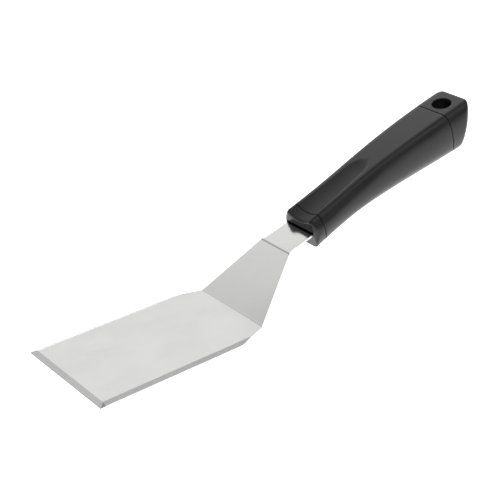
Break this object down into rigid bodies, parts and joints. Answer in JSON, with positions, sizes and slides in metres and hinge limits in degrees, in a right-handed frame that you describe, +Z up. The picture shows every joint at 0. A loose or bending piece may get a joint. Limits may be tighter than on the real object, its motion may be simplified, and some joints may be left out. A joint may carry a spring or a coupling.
{
  "type": "offset spatula",
  "caption": "Offset spatula with a flat ground-edge steel blade, a cranked riser and neck, and a hollow moulded handle with a thumb recess and hang hole.",
  "frame": {"origin": "middle of the blade's flat underside, where it rests on a table", "axes": "+X along the blade from the tip towards the handle, +Y across, +Z up from the table; the XZ plane is the plane of symmetry"},
  "size_m": [0.2633, 0.06, 0.0792],
  "materials": {
    "blade_steel": "satin, fine directional polish",
    "handle_plastic": "semi-gloss moulded, black",
    "core_plastic": "matte moulded, dark grey",
    "pin_steel": "turned"
  },
  "bodies": {
    "root": {"blade": "blade_steel", "front_collar": "handle_plastic", "grip_shell": "handle_plastic", "end_cap": "handle_plastic", "tang_core_upper": "core_plastic", "tang_core_lower": "core_plastic", "tang_pins": "pin_steel"}
  },
  "joints": []
}
